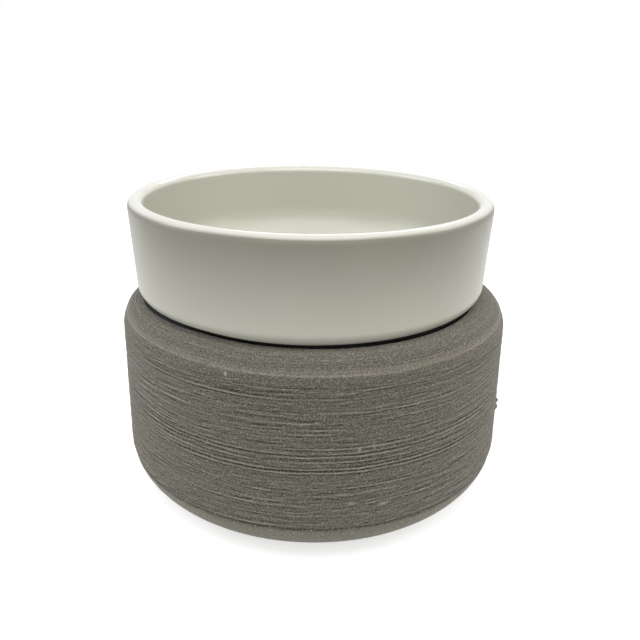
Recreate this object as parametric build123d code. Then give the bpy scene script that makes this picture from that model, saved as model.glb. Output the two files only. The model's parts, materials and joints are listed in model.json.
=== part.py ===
from build123d import *
import math
import os

# Electric oil and wax warmer: a glazed dish that lifts off a stoneware base with a heating plate.
# Millimetres, +Z up. The origin is on the table under the middle of the base.
# The front faces -Y, and the supply cord comes in at the back, on +Y.

os.makedirs("parts", exist_ok=True)

# Stoneware shell of the base
shell_foot_radius = 68.5       # where the line of the wall would reach the underside
shell_taper = 1.5              # how much narrower the line of the wall is at the top
shell_height = 66.7
shell_foot_round = 16.0
shell_shoulder_round = 8.6
shell_wall = 6.5
shell_top_thickness = 9.0
shell_floor = 7.5
shell_edge_round = 0.8         # softened edges at the two openings

# Glazed dish
dish_step = 7.1                # width of the shoulder that shows round the dish
dish_flare = 1.4               # how much wider the line of the wall is at the rim
dish_height = 32.7
dish_wall = 5.2
dish_floor = 5.0
dish_foot_round = 4.7
bowl_round = 12.0
dish_shift = -1.4              # the loose dish stands a little to the left of the middle

# Heating plate in the top of the shell
plate_inset = 4.4              # plate to the line of the dish's wall at its underside
plate_thickness = 3.0
plate_proud = 1.0              # how far the plate stands above the stoneware
plate_edge_round = 0.5
plate_gap = 0.5                # round the plate in its recess
plate_ledge = 9.5              # width of the stoneware ledge under the plate
gasket_thickness = 1.0
gasket_inset = 0.3             # gasket to the edges of its ledge

# Heater stack under the plate
stack_gap = 2.5                # stack to the edge of the top opening
mica_thickness = 0.5
ribbon_thickness = 0.3
ribbon_inset = 5.4             # middle of the outer ring to the rods' bosses
ribbon_inner_share = 0.31      # radius of the inner ring in the outer one
ribbon_width_share = 0.48      # ribbon's width in the pitch of the rings
ribbon_rings = 5
ribbon_split = 3.0             # gap across each ring, where the ribbon turns back
card_thickness = 0.6
pad_thickness = 6.0
clamp_thickness = 1.2

# Tie rods and what is threaded on them
rod_count = 3
rod_first_angle = 30           # degrees, leaves the back clear for the cord
rod_radius = 2.0
rod_inset = 6.0                # rod axis to the edge of the stack
rod_bite = 1.5                 # how far a rod reaches into the plate itself
rod_tail = 0.2                 # rod end below its last nut
thread_gap = 0.05              # radial, between threaded pieces
hole_gap = 0.3                 # radial, in a plain hole
boss_radius = 3.6
boss_relief = 0.2              # boss end to clamp plate, so that the nuts press the stack
nut_across_flats = 7.0
nut_height = 3.2
thin_nut_height = 2.2
nut_chamfer = 0.5
washer_radius = 4.5
washer_thickness = 0.5
spacer_radius = 3.4
spacer_share = 0.27            # spacer's length in the room from the clamp nuts to the cover

# Heat shield
shield_thickness = 0.6
shield_rim = 5.0
shield_gap = 2.0               # shield to the bottom opening that it goes in through
grommet_bore = 4.2
grommet_wall = 1.6
grommet_lip = 1.2
grommet_offset = 12.0          # grommet axis in front of the middle

# Thermal fuse on the clamp plate
fuse_radius = 2.0
fuse_length = 11.0
fuse_lead_radius = 0.5
fuse_lead_length = 8.0
fuse_inset = 7.0               # fuse axis in front of the two rods at the back
sleeve_gap = 0.1
sleeve_wall = 0.5
sleeve_length = 13.0
clip_gap = 0.1
clip_thickness = 0.6
clip_width = 6.0
clip_tab = 7.0
crimp_wall = 0.7
crimp_length = 9.0
crimp_overlap = 4.0            # how far a crimp goes over the fuse lead

# Slotted screws
screw_radius = 1.5
screw_head_radius = 2.8
screw_head_height = 1.6
screw_slot_width = 0.8
screw_slot_depth = 0.7

# Wires inside the base
wire_radius = 0.9
wire_hole_radius = 1.6
wire_bend = 3.0
wire_spread = 1.7              # wire to the grommet's axis
wire_turn = 5.5                # past the crimps, where the fuse wires turn back
wire_drop = 7.0                # loops below the fuse
splay_share = 0.5              # way from shield to terminals at which the wires part
parted_share = 0.75            # way at which they run straight down again

# Bottom cover and feet
land_width = 2.4               # flat ring of stoneware outside the cover
cover_gap = 0.4
cover_ledge = 3.4
cover_thickness = 3.5
cover_inset = 0.4              # cover above the underside of the stoneware
pocket_radius = 5.2
pocket_depth = 2.0
vent_count = 6
vent_length = 11.0
vent_width = 2.4
vent_inset = 14.0              # middle of a vent to the circle of the rods
foot_radius = 5.5
foot_height = 2.0
foot_edge_round = 0.6
foot_inset = 8.0               # foot axis to the edge of the cover

# Terminal block on the cover
block_width = 20.0
block_depth = 16.0
block_height = 13.0
block_round = 1.2
block_offset = 8.0             # middle of the block behind the middle of the base
block_well_depth = 3.0         # well for the head of the fixing screw
pole_pitch = 11.0
pole_radius = 2.4
pole_bore = 1.4
pole_gap = 0.1
pole_inset = 1.0               # brass tube to the face of the block
pole_level = 6.5               # tube axis above the cover
pole_screw_radius = 1.3
pole_screw_length = 3.6
pole_screw_spacing = 8.0
pole_well_gap = 0.7            # radial, round a terminal screw
block_screw_bite = 2.5         # fixing screw into the cover

# Cord inlet
inlet_rise = 5.0               # bore axis above the round inside the foot of the wall
inlet_bore = 3.0
bushing_radius = 5.0
bushing_flange_radius = 7.5
bushing_flange = 2.0
bushing_sink = 0.2             # flange below the surface of the wall
bushing_edge_round = 0.7
bushing_gap = 0.2
bushing_tail = 0.5             # neck past its nut
bushing_nut_flats = 14.0
bushing_nut_height = 4.0

overrun = 1.0                  # how far every cut runs past its faces

# Levels from the table up
cover_low = foot_height
cover_high = cover_low + cover_thickness
shell_low = cover_low - cover_inset
shell_high = shell_low + shell_height
plate_high = shell_high + plate_proud
plate_low = plate_high - plate_thickness
ledge_level = plate_low - gasket_thickness
upper_mica_low = plate_low - mica_thickness
ribbon_low = upper_mica_low - ribbon_thickness
card_low = ribbon_low - card_thickness
lower_mica_low = card_low - mica_thickness
pad_low = lower_mica_low - pad_thickness
clamp_low = pad_low - clamp_thickness
clamp_washer_low = clamp_low - washer_thickness
clamp_nut_low = clamp_washer_low - nut_height
spacer_length = (clamp_nut_low - cover_high) * spacer_share
shield_high = clamp_nut_low - spacer_length
shield_low = shield_high - shield_thickness
shield_nut_low = shield_low - nut_height
pocket_high = cover_low + pocket_depth
cover_washer_low = pocket_high - washer_thickness
cover_nut_low = cover_washer_low - thin_nut_height
rod_low = cover_nut_low - rod_tail
rod_high = plate_low + rod_bite
inlet_level = shell_floor + shell_foot_round - shell_wall + inlet_rise

# Radii that follow from the shell, from the top down
shell_top_radius = shell_foot_radius - shell_taper
dish_foot_radius = shell_top_radius - dish_step
dish_rim_radius = dish_foot_radius + dish_flare
plate_radius = dish_foot_radius - plate_inset
recess_radius = plate_radius + plate_gap
top_opening_radius = recess_radius - plate_ledge
cover_recess_radius = shell_foot_radius - shell_foot_round - land_width
cover_radius = cover_recess_radius - cover_gap
bottom_opening_radius = cover_recess_radius - cover_ledge
stack_radius = top_opening_radius - stack_gap
rod_circle = stack_radius - rod_inset
shield_radius = bottom_opening_radius - shield_gap
foot_circle = cover_radius - foot_inset
vent_circle = rod_circle - vent_inset
rod_hole_radius = rod_radius + hole_gap
threaded_radius = rod_radius + thread_gap
grommet_neck = grommet_bore + grommet_wall

# Fuse, sleeve and clip round one axis
fuse_offset = rod_circle * math.sin(math.radians(rod_first_angle)) - fuse_inset
sleeve_bore = fuse_radius + sleeve_gap
sleeve_radius = sleeve_bore + sleeve_wall
clip_bore = sleeve_radius + clip_gap
clip_radius = clip_bore + clip_thickness
fuse_level = clamp_low - clip_bore
clip_screw_y = fuse_offset + clip_radius + clip_tab / 2
crimp_start = fuse_length / 2 + fuse_lead_length - crimp_overlap
crimp_end = crimp_start + crimp_length
crimp_bore = wire_radius + thread_gap
wire_reach = crimp_end + wire_turn

# The ribbon's rings, and where it ends and the wires go down through the stack
ribbon_outer_radius = rod_circle - boss_radius - ribbon_inset
ribbon_inner_radius = ribbon_outer_radius * ribbon_inner_share
ribbon_pitch = (ribbon_outer_radius - ribbon_inner_radius) / (ribbon_rings - 1)
ribbon_width = ribbon_pitch * ribbon_width_share
ribbon_end_y = (ribbon_split + ribbon_width) / 2
outer_side = 1 if ribbon_rings % 2 else -1
inner_end = (math.sqrt(ribbon_inner_radius**2 - ribbon_end_y**2), -ribbon_end_y)
outer_end = (math.sqrt(ribbon_outer_radius**2 - ribbon_end_y**2), outer_side * ribbon_end_y)

# Terminal block, from the cover up
block_front = block_offset - block_depth / 2
pole_height = cover_high + pole_level
block_seat = cover_high + block_height - block_well_depth
pole_screw_low = pole_height + wire_radius + thread_gap

UP = (Align.CENTER, Align.CENTER, Align.MIN)
rod_places = PolarLocations(rod_circle, rod_count, start_angle=rod_first_angle)
foot_places = PolarLocations(foot_circle, rod_count, start_angle=-rod_first_angle)
vent_places = PolarLocations(vent_circle, vent_count)
shell_lean = (shell_foot_radius - shell_top_radius) / shell_height


def turned(outline, corners):
    """Solid turned about Z from a closed outline, with a round at each (radius, level, size) corner."""
    face = make_face(outline)
    for radius, level, size in corners:
        if size:
            corner = face.vertices().sort_by_distance((radius, 0, level))[0]
            face = fillet(corner, size)
    return revolve(face, Axis.Z)


def disc(radius, low, high):
    return Pos(0, 0, low) * Cylinder(radius, high - low, align=UP)


def tube(radius, bore, low, high):
    return disc(radius, low, high) - disc(bore, low - overrun, high + overrun)


def hole(radius, place, low, high):
    """Cutter through the levels from low to high at an (x, y) place."""
    return Pos(*place, 0) * disc(radius, low - overrun, high + overrun)


def bar_x(radius, start, end, y, z):
    """Round bar along X."""
    return Pos(start, y, z) * Rot(0, 90, 0) * Cylinder(radius, end - start, align=UP)


def bar_y(radius, start, end, x, z):
    """Round bar along Y."""
    return Pos(x, start, z) * Rot(-90, 0, 0) * Cylinder(radius, end - start, align=UP)


def hex_nut(across_flats, height, bore):
    """Nut standing on the origin, its corners chamfered on both faces."""
    corner = across_flats / math.sqrt(3)
    blank = Cylinder(corner, height, align=UP)
    blank = chamfer(blank.edges().filter_by(GeomType.CIRCLE), nut_chamfer)
    prism = extrude(RegularPolygon(corner, side_count=6), amount=height)
    return (blank & prism) - hole(bore, (0, 0), 0, height)


def slotted_screw(length, radius, head_radius, head_height):
    """Screw with its shank up from the origin and its slotted head below."""
    head = disc(head_radius, -head_height, 0)
    slot = Box(2 * head_radius + overrun, screw_slot_width, 2 * screw_slot_depth)
    return head + disc(radius, 0, length) - Pos(0, 0, -head_height) * slot


def on_rods(piece, low):
    """One copy of a piece on each tie rod, standing at a level."""
    return [place * Pos(0, 0, low) * piece for place in rod_places]


def wire(points):
    """Insulated wire along straight runs with round bends."""
    route = FilletPolyline(*points, radius=wire_bend)
    section = Plane(origin=route @ 0, z_dir=route % 0) * Circle(wire_radius)
    return sweep(section, path=route)


def save(name, *solids):
    shape = solids[0] if len(solids) == 1 else Compound(children=list(solids))
    export_step(shape, f"parts/{name}.step")


def make_dish():
    """Bowl with a flat underside, a half-round rim and a round inside corner, standing on the plate."""
    low = plate_high
    floor = low + dish_floor
    lip = dish_wall / 2
    lean = math.atan2(dish_rim_radius - dish_foot_radius, dish_height - lip)
    across = Vector(math.cos(lean), 0, -math.sin(lean)) * lip
    along = Vector(math.sin(lean), 0, math.cos(lean)) * lip
    middle = Vector(dish_rim_radius - lip, 0, low + dish_height - lip)
    bowl_foot = dish_foot_radius - dish_wall
    outside = Polyline((0, 0, low), (dish_foot_radius, 0, low), middle + across)
    rim = ThreePointArc(middle + across, middle + along, middle - across)
    inside = Polyline(middle - across, (bowl_foot, 0, floor), (0, 0, floor), (0, 0, low))
    rounds = [(dish_foot_radius, low, dish_foot_round), (bowl_foot, floor, bowl_round)]
    return Pos(dish_shift, 0, 0) * turned(outside + rim + inside, rounds)


def bushing_faces():
    """Where the cord bushing's flange and nut bear on the wall, as distances behind the middle."""
    outside = shell_foot_radius - shell_lean * inlet_level
    flange_face = outside - bushing_sink - bushing_flange
    nut_corner = bushing_nut_flats / math.sqrt(3)
    inside = outside - shell_wall - shell_lean * nut_corner
    nut_face = math.sqrt(inside**2 - nut_corner**2)
    return flange_face, nut_face


def make_base_shell():
    """Hollow stoneware drum, open at both ends, with ledges for the plate and the cover."""
    inner_top = shell_high - shell_top_thickness
    inner_floor = shell_low + shell_floor
    corners = [
        (cover_recess_radius, shell_low, shell_edge_round),
        (shell_foot_radius, shell_low, shell_foot_round),
        (shell_top_radius, shell_high, shell_shoulder_round),
        (recess_radius, shell_high, shell_edge_round),
        (recess_radius, ledge_level, 0),
        (top_opening_radius, ledge_level, 0),
        (top_opening_radius, inner_top, 0),
        (shell_top_radius - shell_wall, inner_top, shell_shoulder_round - shell_wall),
        (shell_foot_radius - shell_wall, inner_floor, shell_foot_round - shell_wall),
        (bottom_opening_radius, inner_floor, 0),
        (bottom_opening_radius, cover_high, 0),
        (cover_recess_radius, cover_high, 0),
    ]
    outline = Polyline([(radius, 0, level) for radius, level, _ in corners], close=True)
    shell = turned(outline, corners)
    level = shell_low + inlet_level
    flange_face, nut_face = bushing_faces()
    past_wall = shell_foot_radius + overrun
    neck_hole = bar_y(bushing_radius + bushing_gap, nut_face - bushing_nut_height, past_wall, 0, level)
    flange_seat = bar_y(bushing_flange_radius + bushing_gap, flange_face, past_wall, 0, level)
    return shell - neck_hole - flange_seat


def make_heating_plate():
    """Cast plate with one threaded boss below for each tie rod."""
    plate = disc(plate_radius, plate_low, plate_high)
    plate = fillet(plate.edges().filter_by(GeomType.CIRCLE).sort_by(Axis.Z)[-1], plate_edge_round)
    boss_low = pad_low + boss_relief
    for boss in on_rods(disc(boss_radius, 0, plate_low - boss_low), boss_low):
        plate += boss
    for bore in on_rods(disc(threaded_radius, 0, rod_high - boss_low + overrun), boss_low - overrun):
        plate -= bore
    return plate


def stack_sheet(low, high, rod_hole, ends):
    """Round sheet of the heater stack with rod holes and a hole for each wire in ends."""
    sheet = disc(stack_radius, low, high)
    for place in rod_places:
        sheet -= place * hole(rod_hole, (0, 0), low, high)
    for end in ends:
        sheet -= hole(wire_hole_radius, end, low, high)
    return sheet


def make_ribbon():
    """Flat ribbon in split rings, each joined to the next on alternate sides of the split."""
    high = upper_mica_low
    ribbon = None
    for ring in range(ribbon_rings):
        radius = ribbon_inner_radius + ring * ribbon_pitch
        band = tube(radius + ribbon_width / 2, radius - ribbon_width / 2, ribbon_low, high)
        split = Pos(radius, 0, (ribbon_low + high) / 2) * Box(radius, ribbon_split, 2 * ribbon_thickness)
        ribbon = band - split if ribbon is None else ribbon + (band - split)
    for ring in range(ribbon_rings - 1):
        side = -1 if ring % 2 else 1
        middle = ribbon_inner_radius + (ring + 0.5) * ribbon_pitch
        link = Box(ribbon_pitch, ribbon_width, ribbon_thickness, align=UP)
        ribbon += Pos(middle, side * ribbon_end_y, ribbon_low) * link
    return ribbon


def make_clamp_plate():
    plate = stack_sheet(clamp_low, pad_low, rod_hole_radius, [inner_end, outer_end])
    return plate - hole(screw_radius + thread_gap, (0, clip_screw_y), clamp_low, pad_low)


def make_fuse():
    fuse = bar_x(fuse_radius, -fuse_length / 2, fuse_length / 2, fuse_offset, fuse_level)
    reach = fuse_length / 2 + fuse_lead_length
    return fuse + bar_x(fuse_lead_radius, -reach, reach, fuse_offset, fuse_level)


def make_sleeve():
    half = sleeve_length / 2
    sleeve = bar_x(sleeve_radius, -half, half, fuse_offset, fuse_level)
    return sleeve - bar_x(sleeve_bore, -half - overrun, half + overrun, fuse_offset, fuse_level)


def clip_body(radius, width):
    """Stirrup shape that hangs from the clamp plate round the fuse's axis."""
    drop = clamp_low - fuse_level
    sides = Pos(0, fuse_offset, fuse_level) * Box(width, 2 * radius, drop, align=UP)
    return sides + bar_x(radius, -width / 2, width / 2, fuse_offset, fuse_level)


def make_clip():
    """Strap under the fuse with one tab flat against the clamp plate."""
    below = Box(clip_width, 4 * clip_radius, 2 * clip_radius, align=(Align.CENTER, Align.CENTER, Align.MAX))
    strap = clip_body(clip_radius, clip_width) & Pos(0, fuse_offset, clamp_low) * below
    strap -= clip_body(clip_bore, clip_width + overrun)
    tab_start = fuse_offset + clip_bore
    tab_length = clip_thickness + clip_tab
    tab = Pos(0, tab_start + tab_length / 2, clamp_low - clip_thickness) * Box(
        clip_width, tab_length, clip_thickness, align=UP)
    bore = hole(screw_radius + hole_gap, (0, clip_screw_y), clamp_low - clip_thickness, clamp_low)
    return strap + tab - bore


def make_clip_screw():
    seat = clamp_low - clip_thickness
    screw = slotted_screw(pad_low - seat, screw_radius, screw_head_radius, screw_head_height)
    return Pos(0, clip_screw_y, seat) * screw


def make_crimps():
    def crimp(start, end):
        body = bar_x(crimp_bore + crimp_wall, start, end, fuse_offset, fuse_level)
        return body - bar_x(crimp_bore, start - overrun, end + overrun, fuse_offset, fuse_level)
    return [crimp(crimp_start, crimp_end), crimp(-crimp_end, -crimp_start)]


def down_to_terminal(side):
    """The last points of a wire: down through the grommet, apart, and into its terminal."""
    inside = block_front + pole_inset + pole_screw_spacing / 2
    way = shield_low - pole_height
    return [
        (side * wire_spread, -grommet_offset, shield_low - way * splay_share),
        (side * pole_pitch / 2, -grommet_offset, shield_low - way * parted_share),
        (side * pole_pitch / 2, -grommet_offset, pole_height),
        (side * pole_pitch / 2, inside, pole_height),
    ]


def make_wires():
    """Element to terminal, element to fuse, and fuse to terminal."""
    loop = fuse_level - wire_drop
    wire_end = crimp_end - crimp_length / 2 + fuse_lead_radius
    to_terminal = wire([
        (*outer_end, ribbon_low),
        (*outer_end, loop),
        (wire_spread, -grommet_offset, loop),
        *down_to_terminal(1),
    ])
    to_fuse = wire([
        (*inner_end, ribbon_low),
        (*inner_end, loop),
        (wire_reach, fuse_offset, loop),
        (wire_reach, fuse_offset, fuse_level),
        (wire_end, fuse_offset, fuse_level),
    ])
    from_fuse = wire([
        (-wire_end, fuse_offset, fuse_level),
        (-wire_reach, fuse_offset, fuse_level),
        (-wire_reach, fuse_offset, loop),
        (-wire_spread, -grommet_offset, loop),
        *down_to_terminal(-1),
    ])
    return [to_terminal, to_fuse, from_fuse]


def make_shield():
    """Shallow steel pan, open below."""
    pan = disc(shield_radius, shield_high - shield_rim, shield_high)
    pan -= disc(shield_radius - shield_thickness, shield_high - shield_rim - overrun, shield_low)
    for place in rod_places:
        pan -= place * hole(rod_hole_radius, (0, 0), shield_low, shield_high)
    return pan - hole(grommet_neck + thread_gap, (0, -grommet_offset), shield_low, shield_high)


def make_grommet():
    low = shield_low - grommet_lip
    high = shield_high + grommet_lip
    grommet = tube(grommet_neck + grommet_lip, grommet_bore, low, high)
    groove = disc(grommet_neck + grommet_lip + overrun, shield_low, shield_high)
    groove -= hole(grommet_neck, (0, 0), shield_low, shield_high)
    return Pos(0, -grommet_offset, 0) * (grommet - groove)


def make_cover():
    """Disc with a pocket for each tie rod's nut, radial vents and a hole for the block's screw."""
    cover = disc(cover_radius, cover_low, cover_high)
    for place in rod_places:
        cover -= place * hole(rod_hole_radius, (0, 0), cover_low, cover_high)
        cover -= place * disc(pocket_radius, cover_low - overrun, pocket_high)
    vent = extrude(SlotOverall(vent_length, vent_width), amount=cover_thickness + 2 * overrun)
    for place in vent_places:
        cover -= place * Pos(0, 0, cover_low - overrun) * vent
    screw_end = cover_high - block_screw_bite
    return cover - Pos(0, block_offset, 0) * disc(screw_radius + thread_gap, screw_end, cover_high + overrun)


def make_feet():
    pad = disc(foot_radius, 0, foot_height)
    pad = fillet(pad.edges().filter_by(GeomType.CIRCLE).sort_by(Axis.Z)[0], foot_edge_round)
    return [place * pad for place in foot_places]


def pole_screw_places():
    """The (x, y) place of each terminal screw, two to a pole."""
    return [(side * pole_pitch / 2, block_offset + end * pole_screw_spacing / 2)
            for side in (-1, 1) for end in (-1, 1)]


def make_block():
    """Porcelain block with two through tubes, four screw wells and a central fixing hole."""
    block_high = cover_high + block_height
    block = Pos(0, block_offset, cover_high) * Box(block_width, block_depth, block_height, align=UP)
    block = fillet(block.edges().filter_by(Axis.Z), block_round)
    for side in (-1, 1):
        bore = bar_y(pole_radius + pole_gap, block_front - overrun, block_front + block_depth + overrun,
                     side * pole_pitch / 2, pole_height)
        block -= bore
    for place in pole_screw_places():
        block -= hole(pole_screw_radius + pole_well_gap, place, pole_height + overrun, block_high)
    block -= hole(screw_radius + hole_gap, (0, block_offset), cover_high, block_high)
    well = disc(screw_head_radius + hole_gap, block_seat, block_high + overrun)
    return block - Pos(0, block_offset, 0) * well


def make_poles():
    """Brass tubes with two threaded holes each."""
    poles = []
    for side in (-1, 1):
        x = side * pole_pitch / 2
        start = block_front + pole_inset
        end = block_front + block_depth - pole_inset
        pole = bar_y(pole_radius, start, end, x, pole_height)
        pole -= bar_y(pole_bore, start - overrun, end + overrun, x, pole_height)
        pole_top = pole_height + pole_radius
        for place in pole_screw_places():
            pole -= hole(pole_screw_radius + thread_gap, place, pole_height + overrun, pole_top)
        poles.append(pole)
    return poles


def make_pole_screws():
    screws = []
    for place in pole_screw_places():
        screw = disc(pole_screw_radius, pole_screw_low, pole_screw_low + pole_screw_length)
        slot = Box(2 * pole_screw_radius + overrun, screw_slot_width, 2 * screw_slot_depth)
        screws.append(Pos(*place, 0) * (screw - Pos(0, 0, pole_screw_low + pole_screw_length) * slot))
    return screws


def make_block_screw():
    """Head in the block's well, shank down into the cover."""
    length = block_seat - cover_high + block_screw_bite
    screw = slotted_screw(length, screw_radius, screw_head_radius, screw_head_height)
    return Pos(0, block_offset, block_seat) * Rot(180, 0, 0) * screw


def make_bushing():
    """Flanged neck through the wall, with the cord's bore."""
    flange_face, nut_face = bushing_faces()
    level = shell_low + inlet_level
    mouth = flange_face + bushing_flange
    inner = nut_face - bushing_nut_height - bushing_tail
    flange = bar_y(bushing_flange_radius, flange_face, mouth, 0, level)
    flange = fillet(flange.edges().filter_by(GeomType.CIRCLE).sort_by(Axis.Y)[-1], bushing_edge_round)
    bushing = flange + bar_y(bushing_radius, inner, mouth - bushing_flange / 2, 0, level)
    print("cord inlet: mouth", round(mouth, 3), "level", level, "length", round(mouth - inner, 3))
    return bushing - bar_y(inlet_bore, inner - overrun, mouth + overrun, 0, level)


def make_bushing_nut():
    nut_face = bushing_faces()[1]
    nut = hex_nut(bushing_nut_flats, bushing_nut_height, bushing_radius + thread_gap)
    return Pos(0, nut_face, shell_low + inlet_level) * Rot(90, 0, 0) * nut


# Dish and shell
save("dish", make_dish())
save("base_shell", make_base_shell())

# Heating plate and the stack under it
save("heating_plate", make_heating_plate())
gasket_radius = recess_radius - gasket_inset
save("plate_gasket", tube(gasket_radius, top_opening_radius + gasket_inset, ledge_level, plate_low))
boss_hole = boss_radius + hole_gap
save("upper_mica_sheet", stack_sheet(upper_mica_low, plate_low, boss_hole, []))
save("heating_ribbon", make_ribbon())
save("element_card", stack_sheet(card_low, ribbon_low, boss_hole, [inner_end, outer_end]))
save("lower_mica_sheet", stack_sheet(lower_mica_low, card_low, boss_hole, [inner_end, outer_end]))
save("insulation_pad", stack_sheet(pad_low, lower_mica_low, boss_hole, [inner_end, outer_end]))
save("clamp_plate", make_clamp_plate())

# Tie rods and what they carry
save("tie_rods", *on_rods(disc(rod_radius, 0, rod_high - rod_low), rod_low))
washer = tube(washer_radius, rod_hole_radius, 0, washer_thickness)
save("clamp_washers", *on_rods(washer, clamp_washer_low))
save("clamp_nuts", *on_rods(hex_nut(nut_across_flats, nut_height, threaded_radius), clamp_nut_low))
save("rod_spacers", *on_rods(tube(spacer_radius, rod_hole_radius, 0, spacer_length), shield_high))
save("heat_shield", make_shield())
save("shield_grommet", make_grommet())
save("shield_nuts", *on_rods(hex_nut(nut_across_flats, nut_height, threaded_radius), shield_nut_low))

# Thermal fuse and wiring
save("thermal_fuse", make_fuse())
save("fuse_sleeve", make_sleeve())
save("fuse_clip", make_clip())
save("clip_screw", make_clip_screw())
save("fuse_crimps", *make_crimps())
save("element_leads", *make_wires())
save("terminal_block", make_block())
save("terminal_tubes", *make_poles())
save("terminal_screws", *make_pole_screws())
save("block_screw", make_block_screw())

# Underside and cord inlet
save("bottom_cover", make_cover())
save("cover_washers", *on_rods(washer, cover_washer_low))
save("cover_nuts", *on_rods(hex_nut(nut_across_flats, thin_nut_height, threaded_radius), cover_nut_low))
save("feet", *make_feet())
save("cord_bushing", make_bushing())
save("bushing_nut", make_bushing_nut())
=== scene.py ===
import json
import math

import bmesh
import bpy
import numpy as np
from mathutils import Matrix, Vector


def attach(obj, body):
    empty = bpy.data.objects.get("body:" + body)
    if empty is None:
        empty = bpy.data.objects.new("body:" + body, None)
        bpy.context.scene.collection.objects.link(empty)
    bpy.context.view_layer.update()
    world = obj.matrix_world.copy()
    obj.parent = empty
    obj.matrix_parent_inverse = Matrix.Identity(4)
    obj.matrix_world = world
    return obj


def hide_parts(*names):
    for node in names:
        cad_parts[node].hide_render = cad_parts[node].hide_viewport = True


# Electric oil and wax warmer: glazed dish on a combed stoneware base.
# Metres, +Z up, front on -Y. Lengths below are in millimetres times MM.

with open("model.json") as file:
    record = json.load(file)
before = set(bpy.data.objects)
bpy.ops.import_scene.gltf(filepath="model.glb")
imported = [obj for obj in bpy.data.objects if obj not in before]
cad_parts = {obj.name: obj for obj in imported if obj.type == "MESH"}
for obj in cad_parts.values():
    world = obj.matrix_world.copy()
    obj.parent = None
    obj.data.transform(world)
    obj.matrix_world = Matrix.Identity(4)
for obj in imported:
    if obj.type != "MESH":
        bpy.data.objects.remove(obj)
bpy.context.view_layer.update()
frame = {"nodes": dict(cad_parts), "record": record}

MM = 0.001
TAU = 2 * math.pi

# Stoneware shell, as in the CAD source
SHELL_LOW = 1.6 * MM
SHELL_HIGH = 68.3 * MM
SHELL_FOOT_RADIUS = 68.5 * MM
SHELL_TOP_RADIUS = 67.0 * MM
SHELL_FOOT_ROUND = 16.0 * MM
SHELL_SHOULDER_ROUND = 8.6 * MM
SHELL_WALL = 6.5 * MM
SHELL_EDGE_ROUND = 0.8 * MM
RECESS_RADIUS = 56.0 * MM
LEDGE_LEVEL = 65.3 * MM
TOP_OPENING_RADIUS = 46.5 * MM
INNER_HIGH = 59.3 * MM
INNER_FLOOR = 9.1 * MM
BOTTOM_OPENING_RADIUS = 46.7 * MM
COVER_RECESS_RADIUS = 50.1 * MM
COVER_HIGH = 5.5 * MM

# Cord inlet in the back wall
INLET_LEVEL = 23.6 * MM
NECK_HOLE_RADIUS = 5.2 * MM
FLANGE_SEAT_RADIUS = 7.7 * MM
FLANGE_SEAT_Y = 65.805 * MM
CUTTER_REACH = 12.0 * MM       # of the cutters to both sides of the flange's seat
CUTTER_SIDES = 64
MERGE_DISTANCE = 0.003 * MM    # for points that a cut leaves side by side

# Mesh of the shell, whose rows are fine on the wall and the shoulder
SHELL_SEGMENTS = 272
ARC_TURN = math.radians(6)     # step on plain rounds
PLAIN_ROW = 3.0 * MM
INNER_ROW = 6.0 * MM
SHOULDER_ROW = 0.3 * MM
COMB_ROW = 0.24 * MM
COMB_INSIDE = 63.5 * MM        # all of the wall's outside is past this radius
TOP_INSIDE = 57.0 * MM         # all of the shoulder is past this one
TOP_LOW = 65.0 * MM            # and above this level

# Combing of the wall, between two levels above the table
COMB_LOW = 14.0 * MM
COMB_HIGH = 64.0 * MM
COMB_LEVEL = 68.0 * MM         # radius at which lines are counted by their level
COMB_DEPTH = 0.24 * MM
COMB_CREST = 0.6               # height, as a share of the depth, at which ridges are flat
COMB_SINK = 0.1                # share of the depth by which even those are pressed in
COMB_SEED = 4.0
LINE_WIDTH = 0.4 * MM
LINE_WANDER = 1.6 * MM
STREAK_LENGTH = 15.0 * MM
STREAK_PITCH = 0.7 * MM

# Throwing lines that stand out, as (millimetres above the table, strength).
# Those above the shoulder's edge are counted on along its surface.
STRONG_LINES = (
    (74.2, 0.4), (72.9, 0.6), (71.4, 0.5), (70.3, 0.8), (69.0, 0.5), (67.8, 0.9), (66.4, 0.6),
    (61.45, 1.1), (60.85, 0.9), (60.0, 0.4), (58.4, 1.2), (53.8, 0.5), (50.9, 0.6), (42.4, 1.0),
    (40.9, 0.6), (39.7, 1.1), (38.0, 0.6), (35.7, 1.3), (34.4, 1.3), (31.2, 0.4), (29.0, 0.6),
    (26.9, 0.5), (22.9, 0.6), (19.4, 0.4),
)

# Crumbs of clay left on the wall, as (degrees round from +X, millimetres above the table)
CRUMBS = ((-17.5, 33.0), (-17.9, 30.8))
CRUMB_STEEPNESS = (0.75 / MM, 0.75 / MM, 1.8 / MM)
CRUMB_RISE = 1.3 * MM

# Pale smears and dots on the wall, as (degrees round from +X, millimetres above the table,
# half length in millimetres, strength)
SMEARS = ((-71.6, 21.9, 1.8, 0.38), (-80.3, 23.5, 1.2, 0.34), (-111.5, 62.8, 0.5, 0.65),
          (-78.5, 41.4, 0.5, 0.6))
SMEAR_HALF_HEIGHT = 0.6 * MM
SMEAR_STEEPNESS = 0.3 / MM     # from front to back

# Painted shadow on the shoulder beside the heating plate, under the dish's edge, round the dish's
# middle
PAINTED_SHADOW_RADIUS = 55.4 * MM
PAINTED_SHADOW_LEFT_RADIUS = 58.7 * MM
PAINTED_SHADOW_LOW = 67.0 * MM

# Glazed dish, as in the CAD source
DISH_LOW = 69.3 * MM
DISH_HEIGHT = 32.7 * MM
DISH_FOOT_RADIUS = 59.9 * MM
DISH_RIM_RADIUS = 61.3 * MM
DISH_WALL = 5.2 * MM
DISH_FLOOR = 5.0 * MM
DISH_FOOT_ROUND = 4.7 * MM
BOWL_ROUND = 12.0 * MM
DISH_SHIFT = -1.4 * MM

# Mesh of the dish
DISH_SEGMENTS = 192
DISH_ROW = 0.9 * MM
BOTTOM_ROW = 4.0 * MM
RIM_STEPS = 20

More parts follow.
